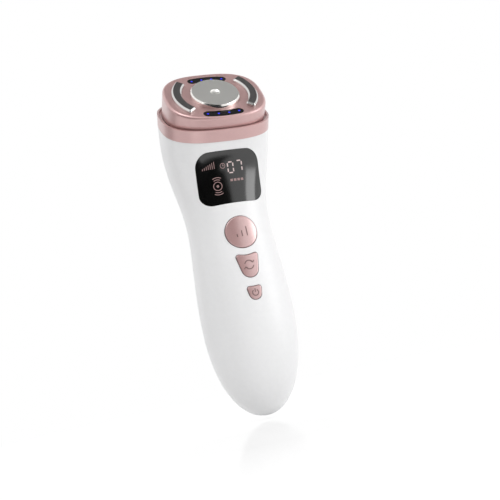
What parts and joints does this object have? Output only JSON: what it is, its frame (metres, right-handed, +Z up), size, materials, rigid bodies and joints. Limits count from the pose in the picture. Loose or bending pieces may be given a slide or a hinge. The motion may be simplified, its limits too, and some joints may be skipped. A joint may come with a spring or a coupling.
{
  "type": "facial lifting device",
  "caption": "Hand-held beauty device with a waisted white handle, black display window, three push keys and a slanted rose head with a round treatment plate, curved contacts and light windows.",
  "frame": {"origin": "middle of the grip, on the axis of the handle", "axes": "+Z up the handle towards the head, -Y the side of the display and keys, +X to the right of someone who faces them"},
  "size_m": [0.0562, 0.0599, 0.1788],
  "materials": {
    "white_shell": "gloss white",
    "rose_lacquer": "satin metallic rose lacquer",
    "plate_metal": "satin",
    "contact_metal": "polished",
    "black_window": "gloss black",
    "light_chip": "clear blue",
    "display_black": "gloss black",
    "rubber_black": "matt",
    "milky_plastic": "matt",
    "dark_plastic": "matt",
    "board_green": "solder resist",
    "steel": "plated",
    "brass_nut": "plain",
    "piezo": "fired",
    "ferrite": "sintered",
    "cell_wrap": "shrink wrap",
    "wire_skin": "matt"
  },
  "bodies": {
    "housing": {"front_shell": "white_shell", "rear_cover": "white_shell", "collar_ring": "rose_lacquer", "head_housing": "rose_lacquer", "treatment_plate": "plate_metal", "electrode_left": "contact_metal", "electrode_right": "contact_metal", "led_window_front": "black_window", "led_window_rear": "black_window", "leds": "light_chip", "display_window": "display_black", "head_gasket": "rubber_black", "plate_seal": "rubber_black", "transducer": "piezo", "transducer_cup": "dark_plastic", "head_board": "board_green", "electrode_nuts": "brass_nut", "head_screws": "steel", "display_diffuser": "milky_plastic", "display_module": "dark_plastic", "main_board": "board_green", "board_screws": "steel", "control_chip": "dark_plastic", "drive_transformer": "ferrite", "buzzer": "dark_plastic", "level_switch": "dark_plastic", "mode_switch": "dark_plastic", "power_switch": "dark_plastic", "battery_cell": "cell_wrap", "battery_cradle": "dark_plastic", "charge_board": "board_green", "charge_screws": "steel", "usb_shell": "steel", "usb_tongue": "dark_plastic", "head_cable": "wire_skin", "battery_leads": "wire_skin", "charge_leads": "wire_skin"},
    "level_key": {"level_button": "rose_lacquer", "level_plunger": "milky_plastic"},
    "mode_key": {"mode_button": "rose_lacquer", "mode_plunger": "milky_plastic"},
    "power_key": {"power_button": "rose_lacquer", "power_plunger": "milky_plastic"}
  },
  "joints": [
    {"name": "level_press", "type": "slide", "parent": "housing", "child": "level_key", "axis": [0, 1, 0], "range_m": [0, 0.0005], "stiffness_N_per_m": 1200, "springref_m": -0.0004},
    {"name": "mode_press", "type": "slide", "parent": "housing", "child": "mode_key", "axis": [0, 1, 0], "range_m": [0, 0.0005], "stiffness_N_per_m": 1200, "springref_m": -0.0004},
    {"name": "power_press", "type": "slide", "parent": "housing", "child": "power_key", "axis": [0, 1, 0], "range_m": [0, 0.0005], "stiffness_N_per_m": 1200, "springref_m": -0.0004}
  ]
}
